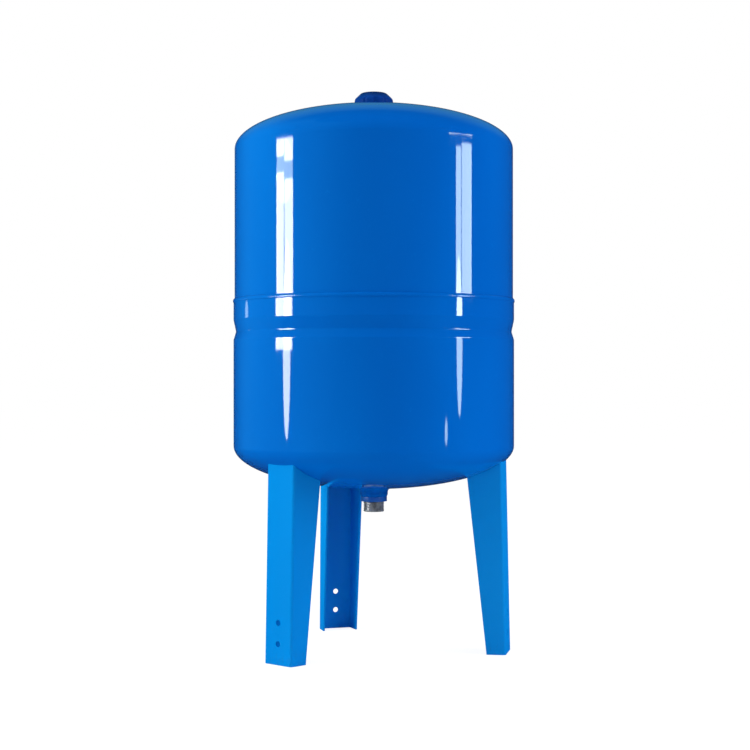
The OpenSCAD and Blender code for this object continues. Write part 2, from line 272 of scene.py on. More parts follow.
def brass():
    material, tree = makeFinish("brass", {"Metallic": 1.0})
    dull = tree.cloud(320, 4, 0.6).ramp(0.35, 0.75)
    turnedLines = tree.cloud(30, 3, 0.5, (1, 1, 90))
    dress(tree, colour=tree.blend(dull, brassLook["clean"], brassLook["dull"]),
          roughness=0.24 + 0.2 * dull, normal=tree.bump(turnedLines, 0.00001))
    return material


rubberLook = {"black": (0.012, 0.012, 0.014), "bloom": (0.035, 0.035, 0.037)}


def rubber():
    material, tree = makeFinish("rubber", {"Specular IOR Level": 0.35})
    bloom = tree.cloud(70, 5, 0.65).ramp(0.4, 0.75)
    grain = tree.cloud(900, 3, 0.6)
    dress(tree, colour=tree.blend(bloom, rubberLook["black"], rubberLook["bloom"]),
          roughness=0.55 + 0.2 * bloom, normal=tree.bump(grain, 0.00005))
    return material


linerLook = {"deep": (0.68, 0.68, 0.62), "light": (0.76, 0.76, 0.71)}


def linerPlastic():
    material, tree = makeFinish("linerPlastic", {"Specular IOR Level": 0.45})
    flow = tree.cloud(9, 4, 0.55, (1, 1, 0.5)).ramp(0.3, 0.7)
    grain = tree.cloud(600, 3, 0.5)
    dress(tree, colour=tree.blend(flow, linerLook["deep"], linerLook["light"]),
          roughness=0.42 + 0.1 * flow, normal=tree.bump(grain, 0.00004))
    return material


coverLook = {
    "deep": (0.0, 0.038, 0.25),
    "worn": (0.002, 0.05, 0.31),
    # The dark colour and the two heights after it are painted shade on the cap's shoulder and top
    "dark": (0.003, 0.02, 0.08),
    "paintedShadeFrom": 882 * mm,
    "paintedShadeTo": 892.5 * mm,
}


def coverPlastic():
    look = coverLook
    material, tree = makeFinish("coverPlastic", {"Specular IOR Level": 0.04})
    handled = tree.cloud(90, 5, 0.6).ramp(0.4, 0.75)
    # Painted shade: the cap's colour darkens from its shoulder up to the crown
    top = tree.height().ramp(look["paintedShadeFrom"], look["paintedShadeTo"])
    colour = tree.blend(handled, look["deep"], look["worn"])
    colour = tree.blend(top * 0.85, colour, look["dark"])
    grain = tree.cloud(1500, 3, 0.55)
    dress(tree, colour=colour, roughness=0.38 + 0.15 * handled, normal=tree.bump(grain, 0.00006))
    return material


finishes = {
    "tank_paint": tankPaint(),
    "leg_paint": legPaint(),
    "nipple_steel": nippleSteel(),
    "plain_steel": plainSteel(),
    "brass": brass(),
    "rubber": rubber(),
    "liner_plastic": linerPlastic(),
    "cover_plastic": coverPlastic(),
}
print("finishes made:", ", ".join(finishes))

for part in frame["record"]["subparts"]:
    node = cadNodes[part["node"]]
    for place in node.material_slots:
        place.material = finishes[part["material_slot"]]


# Modelling helpers
def deselectAll():
    if bpy.context.object and bpy.context.object.mode == "EDIT":
        bpy.ops.object.mode_set(mode="OBJECT")
    bpy.ops.object.select_all(action="DESELECT")


def makeActive(piece):
    deselectAll()
    piece.select_set(True)
    bpy.context.view_layer.objects.active = piece


def openPiece(piece):
    makeActive(piece)
    bpy.ops.object.mode_set(mode="EDIT")
    bpy.ops.mesh.select_mode(type="VERT")
    bpy.ops.mesh.select_all(action="SELECT")


def closePiece():
    bpy.ops.object.mode_set(mode="OBJECT")


def drawPath(name, corners, closed=False):
    # A plane is merged to one point, which is then drawn from corner to corner
    deselectAll()
    bpy.ops.mesh.primitive_plane_add(size=0.01, location=(0, 0, 0))
    piece = bpy.context.object
    piece.name = piece.data.name = name
    openPiece(piece)
    bpy.ops.mesh.merge(type="CENTER")
    bpy.ops.transform.translate(value=corners[0])
    path = corners + corners[:1] if closed else corners
    for before, after in zip(path, path[1:]):
        bpy.ops.mesh.extrude_vertices_move(TRANSFORM_OT_translate={"value": after - before})
    bpy.ops.mesh.select_all(action="SELECT")
    bpy.ops.mesh.remove_doubles(threshold=1e-6)
    return piece


def turnPiece(name, outline, steps, closed=True, angle=math.tau):
    # Spins an outline of (radius, height) pairs about the tank's axis
    piece = drawPath(name, [Vector((r, 0, z)) for r, z in outline], closed)
    bpy.ops.mesh.select_all(action="SELECT")
    bpy.ops.mesh.spin(steps=steps, angle=angle, center=(0, 0, 0), axis=(0, 0, 1))
    bpy.ops.mesh.select_all(action="SELECT")
    bpy.ops.mesh.remove_doubles(threshold=1e-6)
    bpy.ops.mesh.normals_make_consistent(inside=False)
    closePiece()
    return piece


def roundCorners(path, radius, steps):
    # Each inner corner of a flat path is replaced by an arc
    made = [path[0]]
    for before, here, after in zip(path, path[1:], path[2:]):
        here = Vector(here)
        first = (Vector(before) - here).normalized()
        second = (Vector(after) - here).normalized()
        half = first.angle(second) / 2
        centre = here + (first + second).normalized() * radius / math.sin(half)
        start = here + first * radius / math.tan(half) - centre
        end = here + second * radius / math.tan(half) - centre
        made += [tuple(centre + start.slerp(end, i / steps) * radius) for i in range(steps + 1)]
    made.append(path[-1])
    return made


def reshape(piece, move):
    for vertex in piece.data.vertices:
        vertex.co = move(vertex.co.copy())
    piece.data.update()


def applyModifier(piece, kind, **settings):
    makeActive(piece)
    modifier = piece.modifiers.new(kind.lower(), kind)
    for name, value in settings.items():
        setattr(modifier, name, value)
    bpy.ops.object.modifier_apply(modifier=modifier.name)


def cutWith(piece, cutter, operation="DIFFERENCE"):
    applyModifier(piece, "BOOLEAN", object=cutter, operation=operation, solver="EXACT")
    bpy.data.objects.remove(cutter, do_unlink=True)


def copyTurned(piece, name, degrees):
    # A copy with its own mesh, turned about the tank's axis
    made = piece.copy()
    made.data = piece.data.copy()
    made.name = made.data.name = name
    bpy.context.scene.collection.objects.link(made)
    makeActive(made)
    made.rotation_euler = (0, 0, math.radians(degrees))
    bpy.ops.object.transform_apply(location=True, rotation=True, scale=True)
    return made


def joinPieces(pieces, name):
    deselectAll()
    for piece in pieces:
        piece.select_set(True)
    bpy.context.view_layer.objects.active = pieces[0]
    bpy.ops.object.join()
    pieces[0].name = pieces[0].data.name = name
    return pieces[0]


def finishPiece(piece, body, slot, replaced=(), smooth=32, flats=False):
    makeActive(piece)
    bpy.ops.object.transform_apply(location=True, rotation=True, scale=True)
    bpy.ops.object.shade_smooth_by_angle(angle=math.radians(smooth))
    if flats:
        # Large flat faces keep their own shading beside small bent ones
        applyModifier(piece, "WEIGHTED_NORMAL", keep_sharp=True)
    piece.data.materials.clear()
    piece.data.materials.append(finishes[slot])
    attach(piece, body)
    if replaced:
        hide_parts(*replaced)
    deselectAll()


def polar(point):
    return math.hypot(point.x, point.y), math.atan2(point.y, point.x)


def atPolar(radius, angle, z):
    return Vector((radius * math.cos(angle), radius * math.sin(angle), z))


def cutThread(piece, crest, depth, pitch, low, high, inside=False):
    # Turns the rows of a plain wall into a helical thread that fades at both ends
    side = -1 if inside else 1

    def move(point):
        radius, angle = polar(point)
        if abs(radius - crest) > 0.02 * mm or not low <= point.z <= high:
            return point
        fade = min(1, (point.z - low) / pitch, (high - point.z) / pitch)
        phase = (point.z / pitch - angle / math.tau) % 1
        ridge = min(1, max(0, 1.25 * abs(2 * phase - 1) - 0.1))
        return atPolar(radius - side * depth * ridge * fade, angle, point.z)

    reshape(piece, move)


def rows(radius, low, high, count):
    return [(radius, low + (high - low) * i / count) for i in range(count + 1)]


# The two shells
shell = {
    "lowerR": 225 * mm,
    "upperR": 223.3 * mm,
    "sheet": 1.6 * mm,
    "lowZ": 326 * mm,
    "highZ": 800 * mm,
    "depth": 69 * mm,
    "rimZ": 556 * mm,
    "skirtZ": 528 * mm,
    "grooveZ": 508 * mm,
    "grooveDepth": 4 * mm,
    "grooveUp": 19 * mm,
    "grooveDown": 13 * mm,
    "grooveBend": 6 * mm,
    "topHole": 11 * mm,
    "bottomHole": 17.9 * mm,
    "steps": 256,
    "domeSteps": 44,
}


def domeLine(radius, depth, z, hole, up, steps):
    # From the hole out to the wall, along half an ellipse
    start = math.asin(hole / radius)
    line = []
    for i in range(steps + 1):
        angle = start + (math.pi / 2 - start) * i / steps
        line.append((radius * math.sin(angle), z + up * depth * math.cos(angle)))
    return line


def makeUpperShell():
    s = shell
    outside = domeLine(s["upperR"], s["depth"], s["highZ"], s["topHole"], 1, s["domeSteps"])
    inside = domeLine(s["upperR"] - s["sheet"], s["depth"] - s["sheet"], s["highZ"],
                      s["topHole"], 1, s["domeSteps"] // 2)
    outside += [(s["upperR"], s["skirtZ"])]
    inside += [(s["upperR"] - s["sheet"], s["skirtZ"])]
    piece = turnPiece("upperShell", outside + inside[::-1], s["steps"])
    finishPiece(piece, "tank", "tank_paint", ["upper_shell"], flats=True)


def makeLowerShell():
    s = shell
    groove = roundCorners([
        (s["lowerR"], s["lowZ"] + 20 * mm),
        (s["lowerR"], s["grooveZ"] - s["grooveDown"]),
        (s["lowerR"] - s["grooveDepth"], s["grooveZ"]),
        (s["lowerR"], s["grooveZ"] + s["grooveUp"]),
        (s["lowerR"], s["rimZ"])], s["grooveBend"], 5)
    outside = domeLine(s["lowerR"], s["depth"], s["lowZ"], s["bottomHole"], -1, s["domeSteps"])
    inside = domeLine(s["lowerR"] - s["sheet"], s["depth"] - s["sheet"], s["lowZ"],
                      s["bottomHole"], -1, s["domeSteps"] // 2)
    outside += groove
    inside += [(r - s["sheet"], z) for r, z in groove]
    piece = turnPiece("lowerShell", outside + inside[::-1], s["steps"])
    finishPiece(piece, "tank", "tank_paint", ["lower_shell"], 40, True)


seam = {
    "middle": 557 * mm,
    "half": 4.3 * mm,
    "out": 2.9 * mm,
    "ripples": 284,
    "ripple": 0.1 * mm,
    "drift": 0.15 * mm,
}


def makeSeamBead():
    # A shallow arc of weld between the rim and the upper wall
    inner = shell["upperR"]
    bow = (seam["half"] ** 2 + seam["out"] ** 2) / (2 * seam["out"])
    top = []
    for i in range(9):
        z = seam["half"] * (1 - 2 * i / 8)
        r = inner + seam["out"] - bow + math.sqrt(bow ** 2 - z ** 2)
        top.append((max(r, inner + 0.05 * mm), seam["middle"] + z))
    # The bead's lower edge stops on the rim, and its back lies just inside the walls
    rim = shell["lowerR"]
    line = [p for p in top if p[1] > shell["rimZ"] or p[0] > rim]
    back = [(rim - 0.15 * mm, line[-1][1]), (rim - 0.15 * mm, shell["rimZ"] + 0.15 * mm),
            (inner - 0.15 * mm, shell["rimZ"] + 0.15 * mm), (inner - 0.15 * mm, line[0][1])]
    piece = turnPiece("seamBead", line + back, seam["ripples"] * 5)

    def ripple(point):
        radius, angle = polar(point)
        if radius < rim + 0.3 * mm:
            return point
        lift = (radius - rim) / (1.2 * mm)
        wave = math.sin(angle * seam["ripples"] + (point.z - seam["middle"]) / mm * 0.6)
        drift = noise.noise(atPolar(9, angle, 0))
        out = seam["ripple"] * (wave - 1) + seam["drift"] * (drift - 0.6)
        return atPolar(radius + lift * out, angle, point.z)

    reshape(piece, ripple)
    finishPiece(piece, "tank", "tank_paint", ["seam_weld"], 60)


makeUpperShell()
makeLowerShell()
makeSeamBead()
print("shells made")


# The water connection
nipple = {
    "threadLow": 219.5 * mm,
    "threadR": 16.6 * mm,
    "threadTop": 234.5 * mm,
    "pitch": 2.309 * mm,
    "threadDepth": 1.15 * mm,
    "relief": 15.2 * mm,
    "bore": 12.5 * mm,
    "socket": 14.5 * mm,
    "socketZ": 239 * mm,
    "collarLow": 236 * mm,
    "collarTop": 244 * mm,
    "collarR": 21 * mm,
    "shankR": 17.8 * mm,
    "top": 258.5 * mm,
    "threadEdge": 1.2 * mm,
    "boreEdge": 0.6 * mm,
    "collarEdge": 0.9 * mm,
    "lump": 0.45 * mm,
    "steps": 144,
}


def makeNipple():
    n = nipple
    edge = n["threadEdge"]
    outside = [(n["bore"] + n["boreEdge"], n["threadLow"]),
               (n["threadR"] - edge, n["threadLow"])]
    outside += rows(n["threadR"], n["threadLow"] + edge, n["threadTop"], 56)
    outside += roundCorners([
        (n["relief"], n["threadTop"] + 0.4 * mm),
        (n["relief"], n["collarLow"]),
        (n["collarR"], n["collarLow"]),
        (n["collarR"], n["collarTop"]),
        (n["shankR"], n["collarTop"] + 0.4 * mm),
        (n["shankR"], n["top"])], n["collarEdge"], 4)
    inside = [(n["socket"], n["top"]), (n["socket"], n["socketZ"]), (n["bore"], n["socketZ"]),
              (n["bore"], n["threadLow"] + n["boreEdge"])]
    piece = turnPiece("waterNipple", outside + inside, n["steps"])
    cutThread(piece, n["threadR"], n["threadDepth"], n["pitch"],
              n["threadLow"] + edge, n["threadTop"])

    def lumpy(point):
        # Thick paint on the collar
        radius, angle = polar(point)
        if point.z < n["collarLow"] - 0.1 * mm or radius < n["shankR"] - 0.1 * mm:
            return point
        lump = noise.noise(point * 160) + 0.5 * noise.noise(point * 420)
        return atPolar(radius + n["lump"] * (lump + 0.4), angle, point.z)

    reshape(piece, lumpy)
    finishPiece(piece, "tank", "nipple_steel", ["water_nipple"], 35)


nippleBead = {
    "inner": 17.7 * mm,
    # Radius and height, from the collar up to the dome
    "face": [(17.7, 243.4), (20.4, 243.5), (21.6, 245.2), (22.4, 247.8), (22.2, 251.2),
             (23.3, 254.6), (26.6, 257.0)],
    "round": 0.8 * mm,
    "lump": 0.9 * mm,
    "steps": 200,
}


def makeNippleBead():
    b = nippleBead

    def domeZ(radius):
        return shell["lowZ"] - shell["depth"] * math.sqrt(1 - (radius / shell["lowerR"]) ** 2)

    face = [(r * mm, z * mm) for r, z in b["face"]]
    reach = face[-1][0] + 0.4 * mm
    back = [(reach, domeZ(reach) + 0.5 * mm), (b["inner"], domeZ(b["inner"]) + 0.5 * mm)]
    outline = roundCorners(face, b["round"], 3) + back
    piece = turnPiece("nippleBead", outline, b["steps"])

    def lumpy(point):
        # Overlapping blobs, as a hand-run weld leaves
        radius, angle = polar(point)
        if point.z > domeZ(radius) - 0.05 * mm or radius < b["inner"] + 0.1 * mm:
            return point
        blobs = 0.5 + 0.5 * math.sin(angle * 17 + 2.5 * noise.noise(atPolar(3, angle, 0)))
        rough = noise.noise(point * 170) + 0.5 * noise.noise(point * 400)
        out = b["lump"] * (0.5 * blobs + 0.6 * rough - 0.2)
        return atPolar(radius + out, angle, point.z)

    reshape(piece, lumpy)
    finishPiece(piece, "tank", "tank_paint", ["nipple_weld"], 60)


makeNipple()
makeNippleBead()
print("water connection made")


# The legs
leg = {
    "faceR": 217.5 * mm,
    "lean": math.radians(1.2),
    "web": 57.5 * mm,
    "sheet": 3 * mm,
    "flare": math.radians(3),
    "bend": 4.5 * mm,
    "footDepth": 30.5 * mm,
    "topDepth": 59.5 * mm,
    "long": 336 * mm,
    "holeR": 4.5 * mm,
    "holes": (32 * mm, 64 * mm),
    "edge": 0.5 * mm,
    "gap": 0.15 * mm,
    "rows": 12,
    "angles": {"leg_1": 90, "leg_2": 210, "leg_3": 330},
}


def makeDomeCutter(gap):
    # The lower shell's outside, made larger by the gap
    s = shell
    line = domeLine(s["lowerR"] + gap, s["depth"] + gap, s["lowZ"], 0, -1, 90)
    line += [(s["lowerR"] + gap, s["lowZ"] + 30 * mm), (0, s["lowZ"] + 30 * mm)]
    return turnPiece("domeCutter", line, 480, closed=False)


def makeLegs():
    g = leg
    half = g["web"] / 2
    long = (g["topDepth"] + 12 * mm) / math.cos(g["flare"])
    tipX, tipY = -long * math.cos(g["flare"]), long * math.sin(g["flare"])
    path = roundCorners([(tipX, -half - tipY), (0, -half), (0, half), (tipX, half + tipY)],
                        g["bend"], 8)
    first = drawPath("legSheet", [Vector((x, y, -10 * mm)) for x, y in path])
    for i in range(g["rows"]):
        bpy.ops.mesh.extrude_region_move(
            TRANSFORM_OT_translate={"value": (0, 0, g["long"] / g["rows"])})
    bpy.ops.mesh.select_all(action="SELECT")
    bpy.ops.mesh.normals_make_consistent(inside=False)
    closePiece()
    # The sheet's thickness goes inwards from its outer face
    outward = sum((p.normal.x for p in first.data.polygons if p.center.x > -0.1 * mm), 0.0) > 0
    applyModifier(first, "SOLIDIFY", thickness=g["sheet"], offset=-1 if outward else 1,
                  use_even_offset=True)
    for z in g["holes"]:
        deselectAll()
        bpy.ops.mesh.primitive_cylinder_add(
            vertices=40, radius=g["holeR"], depth=g["sheet"] * 4,
            location=(-g["sheet"] / 2, 0, z), rotation=(0, math.pi / 2, 0))
        cutWith(first, bpy.context.object)
    makeActive(first)
    first.rotation_euler = (0, -g["lean"], 0)
    first.location = (g["faceR"], 0, 0)
    bpy.ops.object.transform_apply(location=True, rotation=True, scale=True)
    openPiece(first)
    # Cut level with the floor, then along each flange's slanted edge
    bpy.ops.mesh.bisect(plane_co=(0, 0, 0), plane_no=(0, 0, 1), use_fill=True, clear_inner=True)
    footTip = g["faceR"] - g["footDepth"]
    domeTip = g["faceR"] - shell["lowZ"] * math.tan(g["lean"]) - g["topDepth"]
    slope = Vector((shell["lowZ"], 0, footTip - domeTip)).normalized()
    bpy.ops.mesh.select_all(action="SELECT")
    bpy.ops.mesh.bisect(plane_co=(footTip, 0, 0), plane_no=slope, use_fill=True, clear_inner=True)
    bpy.ops.mesh.select_all(action="SELECT")
    bpy.ops.mesh.normals_make_consistent(inside=False)
    closePiece()
    applyModifier(first, "BEVEL", width=g["edge"], segments=2, limit_method="ANGLE",
                  angle_limit=math.radians(40))
    cutWith(first, makeDomeCutter(g["gap"]))
    for name, degrees in g["angles"].items():
        copied = copyTurned(first, "legSheet" + name[-1], degrees)
        finishPiece(copied, "tank", "leg_paint", [name], 30, True)
    bpy.data.objects.remove(first, do_unlink=True)


legBead = {
    "centreR": 204.37 * mm,
    "z": 297.34 * mm,
    "r": 3 * mm,
    "span": math.radians(8),
    "steps": 48,
}


def makeLegBeads():
    # A run of weld under the dome, inside each leg's web
    b = legBead
    ring = [(b["centreR"] + b["r"] * math.cos(a), b["z"] + b["r"] * math.sin(a))
            for a in [math.tau * i / 14 for i in range(14)]]
    first = turnPiece("legBead", ring, b["steps"], angle=b["span"])
    openPiece(first)
    bpy.ops.mesh.fill_holes(sides=0)
    closePiece()

    def ripple(point):
        radius, angle = polar(point)
        angle = abs(angle)
        part = 2 * angle / b["span"] - 1
        size = math.sqrt(max(0.02, 1 - part ** 6)) * (1 + 0.08 * math.sin(angle * 320))
        size *= 1 + 0.25 * noise.noise(point * 190)
        return atPolar(b["centreR"] + (radius - b["centreR"]) * size, angle - b["span"] / 2,
                       b["z"] + (point.z - b["z"]) * size)

    reshape(first, ripple)
    copies = [copyTurned(first, "bead", degrees) for degrees in leg["angles"].values()]
    bpy.data.objects.remove(first, do_unlink=True)
    beads = joinPieces(copies, "legBeads")
    openPiece(beads)
    bpy.ops.mesh.normals_make_consistent(inside=False)
    closePiece()
    finishPiece(beads, "tank", "leg_paint", ["leg_welds"], 60)


makeLegs()
makeLegBeads()
print("legs made")


# The air valve
valve = {
    "domeZ": 869 * mm,
    "bossLow": 862 * mm,
    "shankR": 10.9 * mm,
    "flangeR": 15 * mm,
    "flangeTop": 872 * mm,
    "neckR": 11 * mm,
    "neckTop": 878 * mm,
    "neckPitch": 1.5 * mm,
    "screwR": 4.85 * mm,
    "sealR": 6.05 * mm,
    "sealLow": 876.8 * mm,
    "hexWide": 12 * mm,
    "hexTop": 881 * mm,
    "stemR": 3.85 * mm,
    "stemTop": 889.6 * mm,
    "stemPitch": 0.794 * mm,
    "boreR": 2.6 * mm,
    "screwLow": 860 * mm,
    "screwGap": 0.05 * mm,
    "neckEdge": 0.6 * mm,
    "neckDepth": 0.7 * mm,
    "stemEdge": 0.5 * mm,
    "stemDepth": 0.38 * mm,
    "beadFoot": 2.7 * mm,
    "beadRound": 3 * mm,
}


def makeBoss():
    v = valve
    edge = 0.4 * mm
    boreR = v["screwR"] + v["screwGap"]
    threadTop = v["neckTop"] - v["neckEdge"]
    outline = [(boreR, v["bossLow"]), (v["shankR"], v["bossLow"]),
               (v["shankR"], v["domeZ"]), (v["flangeR"], v["domeZ"]),
               (v["flangeR"], v["flangeTop"] - edge), (v["flangeR"] - edge, v["flangeTop"])]
    outline += rows(v["neckR"], v["flangeTop"], threadTop, 30)
    outline += [(v["neckR"] - v["neckEdge"], v["neckTop"]), (v["sealR"], v["neckTop"]),
                (v["sealR"], v["sealLow"]), (boreR, v["sealLow"])]
    piece = turnPiece("valveBoss", outline, 96)
    cutThread(piece, v["neckR"], v["neckDepth"], v["neckPitch"], v["flangeTop"] + 0.3 * mm,
              threadTop)
    finishPiece(piece, "tank", "plain_steel", ["valve_boss"])


def makeBossBead():
    v = valve
    foot = v["beadFoot"]
    line = roundCorners([(v["flangeR"] - 0.1 * mm, v["domeZ"] + foot),
                         (v["flangeR"] + foot * 0.4, v["domeZ"] + foot * 0.4),
                         (v["flangeR"] + foot, v["domeZ"] - 0.3 * mm)], v["beadRound"], 5)
    line += [(v["flangeR"] - 0.1 * mm, v["domeZ"] - 0.6 * mm)]
    piece = turnPiece("bossBead", line, 160)

    def ripple(point):
        radius, angle = polar(point)
        if radius < v["flangeR"] + 0.1 * mm:
            return point
        out = 0.12 * mm * math.sin(angle * 32) + 0.2 * mm * noise.noise(point * 300)
        return atPolar(radius + out, angle, point.z)

    reshape(piece, ripple)
    finishPiece(piece, "tank", "tank_paint", ["boss_weld"], 60)


def makeStem():
    v = valve
    outline = [(v["boreR"], v["screwLow"]), (v["screwR"], v["screwLow"]),
               (v["screwR"], v["neckTop"]), (v["stemR"], v["neckTop"] + 0.2 * mm)]
    threadTop = v["stemTop"] - v["stemEdge"]
    outline += rows(v["stemR"], v["hexTop"], threadTop, 84)
    outline += [(v["stemR"] - v["stemEdge"], v["stemTop"]), (v["boreR"], v["stemTop"])]
    stem = turnPiece("valveStem", outline, 64)
    cutThread(stem, v["stemR"], v["stemDepth"], v["stemPitch"], v["hexTop"] + 0.5 * mm,
              threadTop)
    corner = v["hexWide"] / 2 / math.cos(math.pi / 6)
    deselectAll()
    bpy.ops.mesh.primitive_cylinder_add(
        vertices=6, radius=corner, depth=v["hexTop"] - v["neckTop"],
        location=(0, 0, (v["hexTop"] + v["neckTop"]) / 2), rotation=(0, 0, math.pi / 6))
    nut = bpy.context.object
    # The nut's corners are turned off, as on the real one
    low, high, flat = v["neckTop"] - 0.1 * mm, v["hexTop"], v["hexWide"] / 2
    limit = turnPiece("nutLimit", [(0, low), (corner + mm, low), (corner + mm, high - 0.7 * mm),
                                   (flat - 0.2 * mm, high), (0, high)], 72, closed=False)
    cutWith(nut, limit, "INTERSECT")
    deselectAll()
    bpy.ops.mesh.primitive_cylinder_add(
        vertices=48, radius=v["boreR"] + 0.4 * mm, depth=12 * mm,
        location=(0, 0, (v["hexTop"] + v["neckTop"]) / 2))
    cutWith(nut, bpy.context.object)
    applyModifier(nut, "BEVEL", width=0.12 * mm, segments=1, limit_method="ANGLE",
                  angle_limit=math.radians(30))
    piece = joinPieces([stem, nut], "valveStem")
    finishPiece(piece, "tank", "brass", ["valve_stem"], 30)


def setSpring():
    # Works out how much of the core's spring would stay when the pin is pressed, and gives the spring its own
    # mesh; the spring's shape is not changed
    low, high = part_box("core_spring")
    press = next(joint for joint in frame["joints"] if joint["name"] == "valve_pin_press")
    keep = 1 - press["range_m"][1] / (high[2] - low[2])
    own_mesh(cadNodes["core_spring"])


makeBoss()
makeBossBead()
makeStem()
setSpring()
print("air valve made")


# The cover over the air valve
cover = {
    "r": 31 * mm,
    "low": 868.72 * mm,
    "top": 893 * mm,
    "crown": 0.5 * mm,
    "slope": (20 * mm, 882 * mm),
    "bend": 7 * mm,
    "wall": 2 * mm,
    "flutes": 12,
    "fluteR": 5.5 * mm,
    "fluteDepth": 0.9 * mm,
    "socketIn": 11.05 * mm,
    "socketOut": 13.05 * mm,
    "socketLow": 872.3 * mm,
    "threadDepth": 0.5 * mm,
    "threadLong": 7 * mm,
    "ribWide": 1.6 * mm,
    "ribs": 4,
    "ribBite": 0.3 * mm,
    "steps": 288,
}


def makeCover():
    c = cover
    wall = c["wall"]
    slopeR, slopeZ = c["slope"]
    topZ = c["top"] - c["crown"]
    outside = roundCorners([(c["r"], c["low"]), (c["r"], slopeZ), (slopeR, topZ), (0, c["top"])],
                           c["bend"], 8)
    outside[1:1] = rows(c["r"], c["low"] + 2 * mm, c["low"] + 8 * mm, 3)
    slant = 0.45 * wall
    inner = [(c["r"] - wall, c["low"]), (c["r"] - wall, slopeZ - slant),
             (slopeR - slant, topZ - wall), (0, c["top"] - wall)]
    inside = roundCorners(inner, c["bend"] - wall, 5)
    skin = turnPiece("coverSkin", outside[::-1] + inside, c["steps"], closed=False)
    axisR = c["r"] + c["fluteR"] - c["fluteDepth"]

    def flute(point):
        radius, angle = polar(point)
        if radius < c["r"] - 6 * mm or point.z > c["top"] - 1 * mm:
            return point
        step = math.tau / c["flutes"]
        off = (angle - step / 2) % step
        off = min(off, step - off)
        across = axisR * math.sin(off)
        if across >= c["fluteR"] or radius < c["r"] - wall + 0.01 * mm:
            return point
        # How far out the flute's wall lets this direction go
        limit = axisR * math.cos(off) - math.sqrt(c["fluteR"] ** 2 - across ** 2)
        return atPolar(min(radius, limit), angle, point.z)

    reshape(skin, flute)
    socket = [(c["socketOut"], c["top"] - wall), (c["socketOut"], c["socketLow"])]
    socket += rows(c["socketIn"], c["socketLow"], c["top"] - wall - 4 * mm, 40)
    socket += [(c["socketIn"], c["top"] - wall)]
    tube = turnPiece("coverSocket", socket, 96)
    cutThread(tube, c["socketIn"], c["threadDepth"], valve["neckPitch"], c["socketLow"],
              c["socketLow"] + c["threadLong"], inside=True)
    pieces = [skin, tube]
    # The ribs bite a little into the skin and start inside the socket's wall
    bite = c["ribBite"]
    ribInner, ribOuter = c["socketIn"] + 1 * mm, c["r"] - wall + bite
    rib = roundCorners([(ribOuter, c["socketLow"]), (ribOuter, slopeZ - slant + bite),
                        (slopeR - slant + bite, topZ - wall + bite),
                        (ribInner, topZ - wall + bite)], c["bend"] - wall, 5)
    rib += [(ribInner, c["socketLow"])]
    for i in range(c["ribs"]):
        plate = drawPath("coverRib", [Vector((x, -c["ribWide"] / 2, z)) for x, z in rib], True)
        bpy.ops.mesh.select_all(action="SELECT")
        bpy.ops.mesh.edge_face_add()
        bpy.ops.mesh.extrude_region_move(TRANSFORM_OT_translate={"value": (0, c["ribWide"], 0)})
        bpy.ops.mesh.select_all(action="SELECT")
        bpy.ops.mesh.normals_make_consistent(inside=False)
        closePiece()
        plate.rotation_euler = (0, 0, math.tau * i / c["ribs"])
        makeActive(plate)
        bpy.ops.object.transform_apply(location=True, rotation=True, scale=True)
        pieces.append(plate)
    piece = joinPieces(pieces, "screwCover")
    finishPiece(piece, "cover", "cover_plastic", ["valve_cover"], 28)


makeCover()
print("cover made")


# The studio. Places are given as seen from the camera, by an angle to its right,
# a distance from the tank's axis and a height
studio = {
    "azimuth": math.radians(-18),
    "distance": 2.609,
    "height": 0.4349,
    "lens": 77.76,
    "shift": (0.0016, 0.0034),
    "fill": 0.46,
    "floorGlow": 0.89,
}


def fromCamera(degrees, distance, height):
    angle = studio["azimuth"] + math.radians(degrees)
    return Vector((math.sin(angle) * distance, -math.cos(angle) * distance, height))


def addCamera():
    data = bpy.data.cameras.new("camera")
    data.lens = studio["lens"]
    data.sensor_width = 36
    data.shift_x, data.shift_y = studio["shift"]
    camera = bpy.data.objects.new("camera", data)
    bpy.context.scene.collection.objects.link(camera)
    camera.location = fromCamera(0, studio["distance"], studio["height"])
    camera.rotation_euler = (math.pi / 2, 0, studio["azimuth"])
    bpy.context.scene.camera = camera


def addLamp(name, shape, degrees, low, high, wide, radiance, colour=(1, 1, 1), distance=1.5):
    data = bpy.data.lights.new(name, "AREA")
    data.shape = shape
    data.size, data.size_y = wide, high - low
    area = wide * (high - low) * (math.pi / 4 if shape == "ELLIPSE" else 1)
    data.energy = radiance * math.pi * area
    data.color = colour
    lamp = bpy.data.objects.new(name, data)
    bpy.context.scene.collection.objects.link(lamp)
    lamp.location = fromCamera(degrees, distance, (low + high) / 2)
    return lamp


def turnTo(lamp, target):
    lamp.rotation_euler = (target - lamp.location).to_track_quat("-Z", "Y").to_euler()
    lamp.visible_camera = False
    lamp.visible_transmission = False


def addStrip(*settings):
    # A lamp that is seen only in the gloss of the paint
    lamp = addLamp(*settings)
    turnTo(lamp, Vector((0, 0, lamp.location.z)))
    lamp.visible_diffuse = False


def addSoft(*settings):
    # A large lamp that lights the tank but doesn't show in its gloss
    lamp = addLamp(*settings)
    turnTo(lamp, Vector((0, 0, 0.5)))
    lamp.visible_glossy = False


sky = (0.8, 1.0, 0.92)

